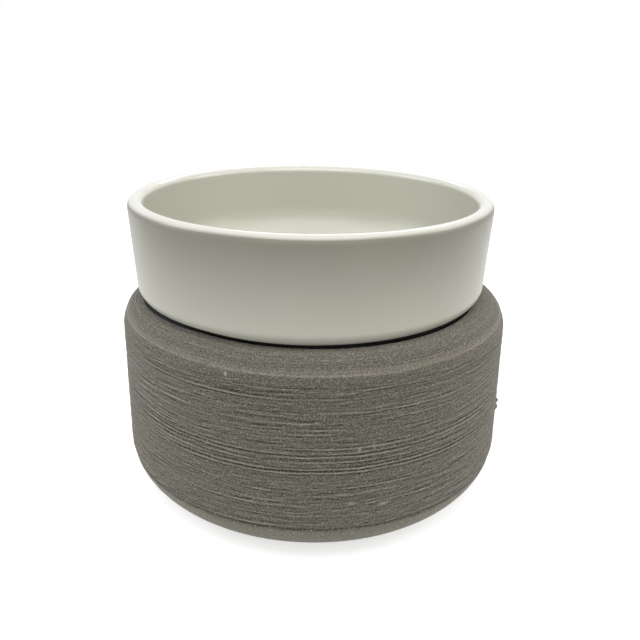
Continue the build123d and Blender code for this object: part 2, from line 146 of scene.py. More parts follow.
# Camera, fitted to the outline in the photograph
CAMERA_PLACE = Vector((0.0, -227.57, 145.06)) * MM
CAMERA_PITCH = 0.3782
CAMERA_YAW = 0.0094
CAMERA_ROLL = 0.0151
CAMERA_LENS = 37.306
CAMERA_SENSOR = 36
CAMERA_NEAR = 10.0 * MM

# Table, and soft lamps as (name, place, target, width and height, watts, colour), in metres
TABLE_RADIUS = 0.6
TABLE_SIDES = 96
TABLE_COLOUR = (0.62, 0.62, 0.61, 1)
TABLE_GLOW = 0.62
LAMPS = (
    ("overhead", (0.0, -0.3, 0.72), (0, 0, 0.05), (0.6, 0.35), 1.8, (1.0, 0.985, 0.95)),
    ("key", (0.0, -0.7, 0.44), (0, 0, 0.05), (0.9, 0.5), 1.72, (1.0, 0.99, 0.96)),
    ("left", (-0.7, 0.0, 0.46), (0, 0, 0.06), (0.4, 0.4), 1.6, (0.9, 0.96, 1.0)),
    ("right", (0.7, 0.0, 0.46), (0, 0, 0.06), (0.4, 0.4), 1.45, (1.0, 0.98, 0.94)),
    ("back", (0.1, 0.7, 0.6), (0, 0, 0.08), (0.6, 0.16), 1.2, (1.0, 1.0, 1.0)),
)


def paint(red, green, blue):
    """Colour for a socket from the three numbers, 0 to 255, that a screen shows."""
    def linear(value):
        share = value / 255
        return share / 12.92 if share <= 0.04045 else ((share + 0.055) / 1.055) ** 2.4
    return (linear(red), linear(green), linear(blue), 1.0)


# Nodes

def plug(tree, node, inputs):
    """A node's inputs linked to sockets, or set to values."""
    for key, value in inputs.items():
        socket = node.inputs[key]
        if isinstance(value, bpy.types.NodeSocket):
            tree.links.new(value, socket)
        else:
            socket.default_value = value


def add(tree, kind, inputs=None, **settings):
    """Node of a kind with its settings, and its inputs linked or set."""
    node = tree.nodes.new(kind)
    for name, value in settings.items():
        setattr(node, name, value)
    plug(tree, node, inputs or {})
    return node


def sums(tree, operation, *values, clamp=False):
    """Output of a Math node on up to three values or sockets."""
    node = add(tree, "ShaderNodeMath", dict(enumerate(values)), operation=operation,
               use_clamp=clamp)
    return node.outputs[0]


def maths(tree, *operations):
    """For each Math operation, a function that works it through values or sockets in a tree."""
    def chained(operation):
        def work(total, *others):
            for other in others:
                total = sums(tree, operation, total, other)
            return total
        return work
    return [chained(operation) for operation in operations]


def spread(tree, value, low, high, new_low, new_high, smooth=False):
    """A value mapped from one range to another, clamped."""
    inputs = {"Value": value, "From Min": low, "From Max": high,
              "To Min": new_low, "To Max": new_high}
    node = add(tree, "ShaderNodeMapRange", inputs,
               interpolation_type="SMOOTHSTEP" if smooth else "LINEAR")
    return node.outputs["Result"]


def blend_colours(tree, share, first, second):
    """A share of the second colour in the first. Inputs 6 and 7 are the node's colours."""
    node = add(tree, "ShaderNodeMix", {0: share, 6: first, 7: second}, data_type="RGBA")
    return node.outputs[2]


def layered(tree, colour, layers):
    """Colour with layers laid over it in turn, each as (share, colour)."""
    for share, over in layers:
        colour = blend_colours(tree, share, colour, over)
    return colour


def noise(tree, place, scale, detail=2.0, roughness=0.5):
    """Noise at a place, from about 0.3 to 0.7."""
    inputs = {"Vector": place, "Scale": scale, "Detail": detail, "Roughness": roughness}
    return add(tree, "ShaderNodeTexNoise", inputs).outputs[0]


def object_place(tree):
    """Place in the piece's own coordinates, which a shader reads."""
    return add(tree, "ShaderNodeTexCoord").outputs["Object"]


def parts_of(tree, place):
    """X, Y and Z of a place."""
    return add(tree, "ShaderNodeSeparateXYZ", {"Vector": place}).outputs


def from_axis(tree, x, y):
    """Distance from the Z axis."""
    squares = [sums(tree, "MULTIPLY", side, side) for side in (x, y)]
    return sums(tree, "SQRT", sums(tree, "ADD", *squares))


def stretched(tree, place, scale):
    """Place multiplied by a scale on each axis."""
    node = add(tree, "ShaderNodeVectorMath", {0: place, 1: scale}, operation="MULTIPLY")
    return node.outputs[0]


def far_from(tree, place, middle, scale):
    """Distance from a middle, multiplied by a scale on each axis."""
    arm = add(tree, "ShaderNodeVectorMath", {0: place, 1: middle}, operation="SUBTRACT")
    arm = stretched(tree, arm.outputs[0], scale)
    return add(tree, "ShaderNodeVectorMath", {0: arm}, operation="LENGTH").outputs["Value"]


def on_wall(radius, turn, level):
    """Point at a radius, from its degrees round from +X and its millimetres above the table."""
    angle = math.radians(turn)
    return Vector((radius * math.cos(angle), radius * math.sin(angle), level * MM))


# Turned meshes

def turned_by(arm, angle):
    """Two-dimensional arm turned by an angle."""
    cosine, sine = math.cos(angle), math.sin(angle)
    return np.array((arm[0] * cosine - arm[1] * sine, arm[0] * sine + arm[1] * cosine))


def combed(radius, level):
    """Whether a point of the section needs the fine rows of the combing."""
    wall = radius > COMB_INSIDE and level > COMB_LOW - 3 * COMB_ROW
    return wall or (radius > TOP_INSIDE and level > TOP_LOW)


def rounded_section(corners, closed):
    """Section as (radius, level) points, from (radius, level, round, spacing) corners.

    A corner's spacing is that of the points on the straight side after it.
    """
    points = []
    count = len(corners)
    for n, (radius, level, size, spacing) in enumerate(corners):
        corner = np.array((radius, level))
        if not size or (not closed and n in (0, count - 1)):
            points.append((corner, spacing))
            continue
        before = np.array(corners[n - 1][:2]) - corner
        after = np.array(corners[(n + 1) % count][:2]) - corner
        before /= np.linalg.norm(before)
        after /= np.linalg.norm(after)
        half = math.acos(float(np.clip(before @ after, -1, 1))) / 2
        reach = size / math.tan(half)
        inwards = (before + after) / np.linalg.norm(before + after)
        middle = corner + inwards * size / math.sin(half)
        start = corner + before * reach - middle
        sweep = math.pi - 2 * half
        out = corner - middle
        turn = math.copysign(1, start[0] * out[1] - start[1] * out[0])
        angle = 0.0
        while angle < sweep:
            point = middle + turned_by(start, turn * angle)
            points.append((point, 1.0))
            step = COMB_ROW / size if combed(*point) else min(ARC_TURN, sweep / 3)
            # The last step may be up to 1.4 times as long, so that none is very short
            angle += step if angle + 1.4 * step < sweep else sweep
        points.append((middle + turned_by(start, turn * sweep), spacing))
    section = []
    for n, (point, spacing) in enumerate(points):
        section.append(point)
        if not closed and n == len(points) - 1:
            break
        far = points[(n + 1) % len(points)][0]
        runs = max(1, round(float(np.linalg.norm(far - point)) / spacing))
        section += [point + (far - point) * run / runs for run in range(1, runs)]
    return np.array(section)


def turned_mesh(name, section, segments, closed):
    """Mesh turned about Z from a section: a ring if closed, otherwise with a pole at each end."""
    angles = np.arange(segments) * TAU / segments
    rows = section if closed else section[1:-1]
    count = len(rows)
    vertices = [(r * math.cos(a), r * math.sin(a), z) for r, z in rows for a in angles]
    faces = []
    for row in range(count if closed else count - 1):
        low, high = row * segments, (row + 1) % count * segments
        for n in range(segments):
            far = (n + 1) % segments
            faces.append((low + n, low + far, high + far, high + n))
    if not closed:
        for pole, row in ((section[0], 0), (section[-1], count - 1)):
            vertices.append((0.0, 0.0, pole[1]))
            middle = len(vertices) - 1
            for n in range(segments):
                edge = (row * segments + n, row * segments + (n + 1) % segments)
                faces.append((edge[1], edge[0], middle) if row == 0 else (*edge, middle))
    mesh = bpy.data.meshes.new(name)
    mesh.from_pydata(vertices, [], faces)
    shaped = bmesh.new()
    shaped.from_mesh(mesh)
    bmesh.ops.recalc_face_normals(shaped, faces=shaped.faces)
    shaped.to_mesh(mesh)
    shaped.free()
    return mesh


def linked(name, data):
    """Object of a mesh, lamp or camera, linked into the scene."""
    made = bpy.data.objects.new(name, data)
    bpy.context.scene.collection.objects.link(made)
    return made


def shown(name, mesh):
    """Object of a mesh, linked into the scene and smooth."""
    mesh.polygons.foreach_set("use_smooth", [True] * len(mesh.polygons))
    return linked(name, mesh)


def cylinder_along_y(name, radius, start, end, level):
    """Closed round bar along Y, to cut with."""
    mesh = bpy.data.meshes.new(name)
    bar = bmesh.new()
    bmesh.ops.create_cone(bar, cap_ends=True, segments=CUTTER_SIDES, radius1=radius,
                          radius2=radius, depth=end - start)
    move = Matrix.Translation((0, (start + end) / 2, level))
    turn = Matrix.Rotation(math.radians(90), 4, "X")
    bmesh.ops.transform(bar, matrix=move @ turn, verts=bar.verts)
    bar.to_mesh(mesh)
    bar.free()
    return linked(name, mesh)


def settle(piece):
    """Takes a piece's modifiers into a plain mesh."""
    graph = bpy.context.evaluated_depsgraph_get()
    mesh = bpy.data.meshes.new_from_object(piece.evaluated_get(graph),
                                           preserve_all_data_layers=True, depsgraph=graph)
    piece.modifiers.clear()
    piece.data = mesh


def cut(piece, *cutters):
    """Takes the cutters' shapes out of a piece, and merges points left side by side."""
    for cutter in cutters:
        modifier = piece.modifiers.new("cut", "BOOLEAN")
        modifier.operation = "DIFFERENCE"
        modifier.solver = "MANIFOLD"
        modifier.object = cutter
    settle(piece)
    for cutter in cutters:
        bpy.data.objects.remove(cutter)
    shaped = bmesh.new()
    shaped.from_mesh(piece.data)
    bmesh.ops.remove_doubles(shaped, verts=shaped.verts, dist=MERGE_DISTANCE)
    shaped.to_mesh(piece.data)
    shaped.free()


# Shader groups

def shader_group(name, inputs, outputs):
    """Empty shader group with float or colour sockets."""
    tree = bpy.data.node_groups.new(name, "ShaderNodeTree")
    for side, sockets in (("INPUT", inputs), ("OUTPUT", outputs)):
        for title, default in sockets.items():
            kind = "NodeSocketFloat" if isinstance(default, float) else "NodeSocketColor"
            socket = tree.interface.new_socket(title, in_out=side, socket_type=kind)
            if side == "INPUT":
                socket.default_value = default
    ins = tree.nodes.new("NodeGroupInput").outputs
    outs = tree.nodes.new("NodeGroupOutput").inputs
    return tree, ins, outs


def make_mottle():
    """Colour between three tones in soft patches and fine grain, with both as numbers."""
    tree, ins, outs = shader_group(
        "mottle",
        {"Middle": paint(128, 128, 128), "Light": paint(140, 140, 140),
         "Dark": paint(110, 110, 110), "Patch Scale": 60.0, "Grain Scale": 2500.0,
         "Patch": 0.5, "Grain": 0.5},
        {"Color": paint(0, 0, 0), "Height": 0.0, "Drift": 0.0})
    place = object_place(tree)
    patch = noise(tree, place, ins["Patch Scale"], detail=4.0, roughness=0.55)
    grain = noise(tree, place, ins["Grain Scale"], detail=3.0, roughness=0.6)
    patch_share = sums(tree, "MULTIPLY", spread(tree, patch, 0.35, 0.65, 0, 1), ins["Patch"])
    grain_share = sums(tree, "MULTIPLY", spread(tree, grain, 0.45, 0.72, 0, 1), ins["Grain"])
    layers = ((patch_share, ins["Light"]), (grain_share, ins["Dark"]))
    tree.links.new(layered(tree, ins["Middle"], layers), outs["Color"])
    tree.links.new(grain, outs["Height"])
    tree.links.new(patch, outs["Drift"])
    return tree


def make_specks():
    """Round specks in a few of the cells, as a mask."""
    tree, ins, outs = shader_group(
        "specks", {"Scale": 900.0, "Share": 0.1, "Size": 0.25}, {"Mask": 0.0})
    inputs = {"Vector": object_place(tree), "Scale": ins["Scale"]}
    cells = add(tree, "ShaderNodeTexVoronoi", inputs).outputs
    pick = add(tree, "ShaderNodeSeparateColor", {"Color": cells["Color"]}).outputs[0]
    chosen = sums(tree, "LESS_THAN", pick, ins["Share"])
    near = sums(tree, "SUBTRACT", 1.0, sums(tree, "DIVIDE", cells["Distance"], ins["Size"]))
    near = sums(tree, "MULTIPLY", near, 3.0, clamp=True)
    tree.links.new(sums(tree, "MULTIPLY", chosen, near), outs["Mask"])
    return tree


def make_turning():
    """Fine rings round the Z axis, as lathe or mould marks, as a height."""
    tree, ins, outs = shader_group("turning", {"Pitch": 4000.0, "Waver": 0.2}, {"Height": 0.0})
    plus, times = maths(tree, "ADD", "MULTIPLY")
    place = object_place(tree)
    x, y = parts_of(tree, place)[:2]
    waver = times(noise(tree, place, 40.0), ins["Waver"])
    along = plus(times(from_axis(tree, x, y), ins["Pitch"]), waver)
    line = add(tree, "ShaderNodeCombineXYZ", {0: along}).outputs[0]
    tree.links.new(noise(tree, line, 1.0, detail=3.0, roughness=0.7), outs["Height"])
    return tree


mottle, specks, turning = make_mottle(), make_specks(), make_turning()


# Materials

def placed(tree, group, **values):
    """Outputs of a group with its inputs set or linked, underscores standing for spaces."""
    inputs = {name.replace("_", " "): value for name, value in values.items()}
    return add(tree, "ShaderNodeGroup", inputs, node_tree=group).outputs


def material(name):
    """New material as (material, tree, Principled node)."""
    made = bpy.data.materials.new(name)
    made.use_nodes = True
    tree = made.node_tree
    return made, tree, tree.nodes["Principled BSDF"]


def bump(tree, height, distance, strength=1.0):
    """Normal that a height gives."""
    inputs = {"Height": height, "Distance": distance, "Strength": strength}
    return add(tree, "ShaderNodeBump", inputs).outputs[0]


def finish_of(name, middle, light, dark, roughness, patch_scale=60.0, grain_scale=2500.0,
              patch=0.5, metallic=0.0, bump_depth=0.02 * MM, rings=0.0, specular=0.5,
              stretch=None):
    """Plain manufactured finish: mottled colour, uneven roughness, and grain or brushed lines,
    with turning marks where asked."""
    made, tree, shader = material(name)
    tone = placed(tree, mottle, Middle=paint(*middle), Light=paint(*light), Dark=paint(*dark),
                  Patch_Scale=patch_scale, Grain_Scale=grain_scale, Patch=patch, Grain=0.3)
    height = tone["Height"]
    if stretch:
        place = stretched(tree, object_place(tree), stretch)
        height = noise(tree, place, 1.0, detail=3.0, roughness=0.6)
    if rings:
        height = sums(tree, "ADD", height, placed(tree, turning, Pitch=rings)["Height"])
    plug(tree, shader, {
        "Base Color": tone["Color"],
        "Roughness": spread(tree, tone["Drift"], 0.3, 0.7, roughness - 0.08, roughness + 0.08),
        "Metallic": metallic,
        "Specular IOR Level": specular,
        "Normal": bump(tree, height, bump_depth),
    })
    return made


def smear_layers(tree, place):
    """The pale smears and dots of the wall, as (share, colour)."""
    layers = []
    for turn, level, half, strength in SMEARS:
        scale = (1 / (half * MM), SMEAR_STEEPNESS, 1 / SMEAR_HALF_HEIGHT)
        far = far_from(tree, place, on_wall(SHELL_TOP_RADIUS, turn, level), scale)
        layers.append((spread(tree, far, 1.3, 0.3, 0.0, strength), paint(190, 187, 176)))
    return layers


def painted_plate_shadow(tree, x, y, level):
    """Share of the painted shadow beside the heating plate, under the dish's edge, which is
    widest at the left.
    """
    minus, times = maths(tree, "SUBTRACT", "MULTIPLY")
    reach = spread(tree, x, -30.0 * MM, -56.0 * MM, PAINTED_SHADOW_RADIUS, PAINTED_SHADOW_LEFT_RADIUS)
    past = minus(from_axis(tree, minus(x, DISH_SHIFT), y), reach)
    return times(spread(tree, past, 0.3 * MM, -0.3 * MM, 0.0, 1.0),
                 spread(tree, level, PAINTED_SHADOW_LOW, PAINTED_SHADOW_LOW + 0.4 * MM, 0.0, 1.0))


def make_stoneware():
    """Gritty grey clay. The combed zone is darker, with painted shade in its grooves and painted
    highlights on its ridges. The foot is paler clay, paler still as painted bounce light, its
    underside has painted shade, and the shoulder has a painted highlight along its edge, and
    rings."""
    made, tree, shader = material("stoneware")
    plus, times = maths(tree, "ADD", "MULTIPLY")
    place = object_place(tree)
    x, y, level = parts_of(tree, place)
    height, band, ridge = [
        add(tree, "ShaderNodeAttribute", attribute_name=name).outputs["Fac"]
        for name in ("comb_height", "comb_mask", "comb_ridge")]
    tone = placed(tree, mottle, Middle=paint(105, 102, 92), Light=paint(112, 109, 98),
                  Dark=paint(92, 89, 79), Patch_Scale=45.0, Grain_Scale=1100.0,
                  Patch=0.6, Grain=0.3)
    ash = spread(tree, noise(tree, place, 26.0, detail=3.0), 0.52, 0.66, 0.0, 0.35, smooth=True)
    # Paler clay of the uncombed foot, also painted paler as bounce light from the table on its
    # down-facing round
    foot_tone_and_bounce = spread(tree, level, COMB_LOW - 0.6 * MM, COMB_LOW, 0.85, 0.0)
    # Painted shade: the lowest, down-facing part of the foot is painted darker as contact shadow
    underside_shade = spread(tree, level, 4.7 * MM, 3.7 * MM, 0.0, 0.6)
    # Painted shade in the combing's grooves and painted highlight on its crests
    painted_groove_shade = times(spread(tree, height, 0.0, -0.65, 0.0, 1.0), band)
    painted_crest_light = times(spread(tree, height, 0.1, 0.9, 0.0, 0.8), band)
    # Painted highlight: a paler band along the shoulder's edge, just above the combing
    painted_edge_highlight = times(
        spread(tree, level, COMB_HIGH - 0.2 * MM, COMB_HIGH + 0.3 * MM, 0.0, 0.3),
        spread(tree, level, COMB_HIGH + 2.2 * MM, COMB_HIGH + 0.8 * MM, 0.0, 1.0))
    rings = placed(tree, turning, Pitch=450.0, Waver=1.2)["Height"]
    rings = times(spread(tree, rings, 0.55, 0.35, 0.0, 0.6),
                  spread(tree, level, COMB_HIGH, COMB_HIGH + 1.0 * MM, 0.0, 1.0))
    grit = noise(tree, stretched(tree, place, (1.15, 1.15, 1.8)), 2000.0, detail=1.0,
                 roughness=0.6)
    pale_specks = placed(tree, specks, Scale=1000.0, Share=0.03, Size=0.22)["Mask"]
    black_specks = placed(tree, specks, Scale=820.0, Share=0.03, Size=0.2)["Mask"]
    colour = layered(tree, tone["Color"], [
        (ash, paint(108, 104, 101)),
        (spread(tree, band, 0.42, 1.0, 0.12, 0.75), paint(89, 85, 75)),
        # paler foot clay with painted bounce light
        (foot_tone_and_bounce, paint(117, 114, 102)),
        # painted shade on the foot's underside
        (underside_shade, paint(58, 55, 48)),
        # painted shade in the grooves
        (painted_groove_shade, paint(35, 32, 27)),
        # painted highlight on the crests
        (painted_crest_light, paint(158, 154, 140)),
        # painted highlight along the shoulder's edge
        (painted_edge_highlight, paint(152, 148, 135)),
        (rings, paint(84, 81, 72)),
        # painted highlight on the ridge at the combing's upper edge
        (times(ridge, 0.45), paint(152, 148, 135)),
        (spread(tree, grit, 0.5, 0.3, 0.0, 0.55), paint(60, 57, 50)),
        (spread(tree, grit, 0.5, 0.7, 0.0, 0.5), paint(172, 168, 154)),
        *smear_layers(tree, place),
        (times(pale_specks, 0.6), paint(190, 186, 176)),
        (times(black_specks, 0.6), paint(52, 49, 43)),
        # painted shadow beside the heating plate, under the dish's edge
        (painted_plate_shadow(tree, x, y, level), paint(5, 5, 4)),
    ])
    rub = plus(grit, times(noise(tree, place, 1400.0, detail=1.0), 0.7))
    rub = times(rub, spread(tree, band, 0.0, 1.0, 0.9, 1.0))
    plug(tree, shader, {
        "Base Color": colour,
        "Roughness": spread(tree, grit, 0.3, 0.7, 0.86, 1.0),
        "Specular IOR Level": 0.5,
        "Diffuse Roughness": 1.0,
        "Sheen Weight": 0.12,
        "Sheen Roughness": 0.45,
        "Normal": bump(tree, rub, 0.15 * MM, 0.9),
    })
    return made


def make_glaze():
    """Satin off-white glaze. Outside it has painted shade, greyer towards the rim. The lip has a
    painted highlight and the bowl's floor painted light, both paler. The foot's lowest edge is
    painted dark as shade under the dish, rougher there and higher at the left."""
    made, tree, shader = material("glaze")
    plus, minus, times = maths(tree, "ADD", "SUBTRACT", "MULTIPLY")
    place = object_place(tree)
    x, y, level = parts_of(tree, place)
    x = minus(x, DISH_SHIFT)
    top, floor = DISH_LOW + DISH_HEIGHT, DISH_LOW + DISH_FLOOR
    lip_radius = DISH_RIM_RADIUS - DISH_WALL / 2
    outside = spread(tree, from_axis(tree, x, y), lip_radius - 1.5 * MM, lip_radius + 1.0 * MM,
                     0.0, 1.0)
    inside = minus(1.0, outside)
    tone = placed(tree, mottle, Middle=paint(180, 179, 167), Light=paint(182, 181, 170),
                  Dark=paint(174, 173, 160), Patch_Scale=24.0, Grain_Scale=700.0,
                  Patch=0.8, Grain=0.2)
    run = noise(tree, place, 30.0, detail=2.0)
    wavy_level = plus(level, times(minus(run, 0.5), 6.0 * MM))
    # Painted shade: the outer wall is painted greyer towards the rim, standing in for shade that
    # falls there
    painted_rim_shade = spread(tree, wavy_level, DISH_LOW + 4.0 * MM, top - 2.0 * MM, 0.0, 1.0)
    # Painted light: the bowl's floor and bottom round are painted paler, as where overhead light
    # falls
    painted_floor_light = spread(tree, level, floor + 7.5 * MM, floor + 2.0 * MM, 0.0, 1.0)
    # Painted highlight: a paler band over the top of the lip, which also gets more coat
    lip_highlight_low = spread(tree, outside, 0.0, 1.0, top - 2.2 * MM, top - 1.3 * MM)
    lip = spread(tree, minus(level, lip_highlight_low), 0.0, 0.8 * MM, 0.0, 1.0)
    # Painted shade: the dish's lowest edge is painted near-black as the shadow in the gap under
    # it, higher at the left, and rougher there
    foot_shade_high = spread(tree, x, -30.0 * MM, -2.0 * MM, DISH_LOW + 1.9 * MM, DISH_LOW + 0.4 * MM)
    painted_foot_shade = spread(tree, minus(level, foot_shade_high), -0.1 * MM, 0.1 * MM, 1.0, 0.0)
    colour = layered(tree, tone["Color"], [
        # painted shade on the outer wall, greyer towards the rim
        (times(painted_rim_shade, outside), paint(128, 125, 114)),
        (inside, paint(179, 179, 167)),
        # painted light on the bowl's floor
        (times(painted_floor_light, inside), paint(206, 205, 196)),
        # painted highlight on the lip
        (lip, paint(206, 205, 196)),
        # painted shade at the dish's foot
        (painted_foot_shade, paint(22, 21, 20)),
    ])
    rough = spread(tree, noise(tree, place, 70.0, detail=3.0), 0.3, 0.7, 0.3, 0.38)
    skin = plus(noise(tree, place, 260.0, detail=2.0),
                times(noise(tree, place, 1800.0, detail=2.0), 0.15))
    plug(tree, shader, {
        "Base Color": colour,
        "Roughness": spread(tree, painted_foot_shade, 0.0, 1.0, rough, 0.85),
        "Specular IOR Level": 0.3,
        "Coat Weight": spread(tree, lip, 0.0, 1.0, 0.06, 0.8),
        "Coat Roughness": 0.1,
        "Normal": bump(tree, skin, 0.04 * MM, 0.6),
    })
    return made


# Combing of the stoneware

def make_combing():
    """Geometry tree that presses lines and streaks into the wall, and leaves crumbs on it.

    Its inputs come as a dictionary of their identifiers. It stores three numbers for the
    material: the combing's height, where it lies, and the ridge at its upper edge.
    """
    tree = bpy.data.node_groups.new("combing", "GeometryNodeTree")
    plus, minus, times, over = maths(tree, "ADD", "SUBTRACT", "MULTIPLY", "DIVIDE")
    identifiers = {}
    tree.interface.new_socket("Geometry", in_out="INPUT", socket_type="NodeSocketGeometry")
    for title in ("Low", "High", "Depth", "Line Width", "Streak Length", "Streak Pitch",
                  "Wander", "Seed", "Clay"):
        kind = "NodeSocketMaterial" if title == "Clay" else "NodeSocketFloat"
        socket = tree.interface.new_socket(title, in_out="INPUT", socket_type=kind)
        identifiers[title] = socket.identifier
    tree.interface.new_socket("Geometry", in_out="OUTPUT", socket_type="NodeSocketGeometry")
    ins = tree.nodes.new("NodeGroupInput").outputs
    outs = tree.nodes.new("NodeGroupOutput").inputs

    def combined(*values):
        return add(tree, "ShaderNodeCombineXYZ", dict(enumerate(values))).outputs[0]

    def past(value, limit):
        return sums(tree, "GREATER_THAN", value, limit)

    def hump(distance):
        """Rises to 1 where the distance is nought, and falls away at about 1."""
        return sums(tree, "EXPONENT", times(distance, distance, -1.0))

    place = add(tree, "GeometryNodeInputPosition").outputs[0]
    normal = add(tree, "GeometryNodeInputNormal").outputs[0]
    x, y, level = parts_of(tree, place)
    radius = from_axis(tree, x, y)
    shoulder = sums(tree, "MINIMUM", past(radius, TOP_INSIDE), past(level, TOP_LOW))
    outside = sums(tree, "MAXIMUM", past(radius, COMB_INSIDE), shoulder)

    # Lines are counted along the surface: by level on the wall, and by radius on the shoulder
    along = minus(plus(level, COMB_LEVEL), radius)
    slow = minus(noise(tree, combined(x, y, ins["Seed"]), 22.0), 0.5)
    quick = minus(noise(tree, combined(x, y, plus(along, ins["Seed"])), 120.0), 0.5)
    wander = plus(times(slow, ins["Wander"]), times(quick, ins["Wander"], 0.12))
    drifted = plus(along, wander)

    # The lines that stand out fade here and there round the wall
    lines = 0.0
    for n, (line_level, strength) in enumerate(STRONG_LINES):
        gap = over(minus(drifted, line_level * MM), ins["Line Width"])
        wave = times(minus(1.0, times(gap, gap, 2.3)), hump(gap))
        fading = noise(tree, combined(x, y, plus(ins["Seed"], 0.37 * n)), 16.0, detail=1.0)
        there = spread(tree, fading, 0.33, 0.53, 0.2 * strength, strength, smooth=True)
        lines = plus(lines, times(wave, there))

    def streaks(length_share, pitch_share, offset):
        """Noise drawn out along the wall, less the same a little higher up, so that it has no
        broad patches."""
        flat = over(1.0, times(ins["Streak Length"], length_share))
        tall = over(1.0, times(ins["Streak Pitch"], pitch_share))
        across = plus(times(drifted, tall), ins["Seed"], offset)
        drawn = [noise(tree, combined(times(x, flat), times(y, flat), plus(across, shift)), 1.0,
                       detail=0.0)
                 for shift in (0.0, 0.8)]
        return times(minus(*drawn), 2.8)

    # Between them are finer streaks, stronger at some levels than at others, and fainter just
    # under the upper edge
    groups = combined(times(x, 14.0), times(y, 14.0), times(drifted, 130.0))
    grouped = spread(tree, noise(tree, groups, 1.0, detail=1.0), 0.4, 0.62, 0.3, 1.0, smooth=True)
    medium = times(streaks(1.0, 1.0, 31.7), grouped, 0.5)
    fine = plus(times(streaks(0.35, 0.8, 67.3), 0.3), times(streaks(0.15, 0.7, 12.9), 0.35))
    edge = plus(ins["High"], times(slow, 0.8 * MM), times(quick, 0.3 * MM))
    under_edge = over(minus(level, minus(edge, 0.9 * MM)), 0.9 * MM)
    quiet = minus(1.0, times(hump(under_edge), 0.65))
    height = plus(lines, times(plus(medium, fine), quiet))

    # The combing ends in a groove at the foot, and in a ridge at the shoulder
    foot_groove = hump(over(minus(level, plus(ins["Low"], 0.5 * MM)), 0.35 * MM))
    height = minus(height, times(foot_groove, 0.9))
    above = spread(tree, level, ins["Low"], plus(ins["Low"], 0.4 * MM), 0.07, 1.0)
    below = spread(tree, level, minus(edge, 0.2 * MM), plus(edge, 0.25 * MM), 1.0, 0.42)
    ridge = hump(over(minus(level, plus(edge, 0.1 * MM)), 0.28 * MM))
    ridge = times(ridge, spread(tree, y, -58.0 * MM, -64.0 * MM, 0.3, 1.0))
    height = sums(tree, "MINIMUM", plus(height, times(ridge, 0.6)), 1.0)
    height = sums(tree, "MAXIMUM", height, -1.4)
    mask = times(above, below, outside)
    press = minus(sums(tree, "MINIMUM", height, COMB_CREST), COMB_CREST + COMB_SINK)
    move = times(press, mask, ins["Depth"])
    for turn, crumb_level in CRUMBS:
        middle = on_wall(SHELL_FOOT_RADIUS, turn, crumb_level)
        far = far_from(tree, place, middle, CRUMB_STEEPNESS)
        move = plus(move, times(hump(far), CRUMB_RISE))

    shape = ins["Geometry"]
    stored = (("comb_height", height), ("comb_mask", mask), ("comb_ridge", times(ridge, outside)))
    for title, value in stored:
        inputs = {"Geometry": shape, "Name": title, "Value": value}
        shape = add(tree, "GeometryNodeStoreNamedAttribute", inputs,
                    data_type="FLOAT", domain="POINT").outputs[0]
    offset = add(tree, "ShaderNodeVectorMath", {0: normal, "Scale": move}, operation="SCALE")
    inputs = {"Geometry": shape, "Offset": offset.outputs[0]}
    moved = add(tree, "GeometryNodeSetPosition", inputs).outputs[0]
    real = add(tree, "GeometryNodeRealizeInstances", {"Geometry": moved}).outputs[0]
    inputs = {"Geometry": real, "Material": ins["Clay"]}
    tree.links.new(add(tree, "GeometryNodeSetMaterial", inputs).outputs[0], outs[0])
    return tree, identifiers


def make_shell():
    """Turned stoneware drum with its combing and the hole for the cord bushing."""
    section = rounded_section([
        (COVER_RECESS_RADIUS, SHELL_LOW, SHELL_EDGE_ROUND, PLAIN_ROW),
        (SHELL_FOOT_RADIUS, SHELL_LOW, SHELL_FOOT_ROUND, COMB_ROW),
        (SHELL_TOP_RADIUS, SHELL_HIGH, SHELL_SHOULDER_ROUND, SHOULDER_ROW),
        (RECESS_RADIUS, SHELL_HIGH, SHELL_EDGE_ROUND, PLAIN_ROW),
        (RECESS_RADIUS, LEDGE_LEVEL, 0, PLAIN_ROW),
        (TOP_OPENING_RADIUS, LEDGE_LEVEL, 0, PLAIN_ROW),
        (TOP_OPENING_RADIUS, INNER_HIGH, 0, PLAIN_ROW),
        (SHELL_TOP_RADIUS - SHELL_WALL, INNER_HIGH, SHELL_SHOULDER_ROUND - SHELL_WALL, INNER_ROW),
        (SHELL_FOOT_RADIUS - SHELL_WALL, INNER_FLOOR, SHELL_FOOT_ROUND - SHELL_WALL, PLAIN_ROW),
        (BOTTOM_OPENING_RADIUS, INNER_FLOOR, 0, PLAIN_ROW),
        (BOTTOM_OPENING_RADIUS, COVER_HIGH, 0, PLAIN_ROW),
        (COVER_RECESS_RADIUS, COVER_HIGH, 0, PLAIN_ROW),
    ], closed=True)
    name = "stoneware_shell"
    shell = shown(name, turned_mesh(name, section, SHELL_SEGMENTS, closed=True))
    tree, identifiers = make_combing()
    modifier = shell.modifiers.new("combing", "NODES")
    modifier.node_group = tree
    values = {"Low": COMB_LOW, "High": COMB_HIGH, "Depth": COMB_DEPTH, "Line Width": LINE_WIDTH,
              "Streak Length": STREAK_LENGTH, "Streak Pitch": STREAK_PITCH,
              "Wander": LINE_WANDER, "Seed": COMB_SEED, "Clay": make_stoneware()}
    for title, value in values.items():
        modifier[identifiers[title]] = value
    settle(shell)
    outer = FLANGE_SEAT_Y + CUTTER_REACH
    neck = cylinder_along_y("neck_cutter", NECK_HOLE_RADIUS, FLANGE_SEAT_Y - CUTTER_REACH, outer,
                            INLET_LEVEL)
    seat = cylinder_along_y("seat_cutter", FLANGE_SEAT_RADIUS, FLANGE_SEAT_Y, outer, INLET_LEVEL)
    cut(shell, neck, seat)
    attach(shell, "base")
    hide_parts("base_shell")


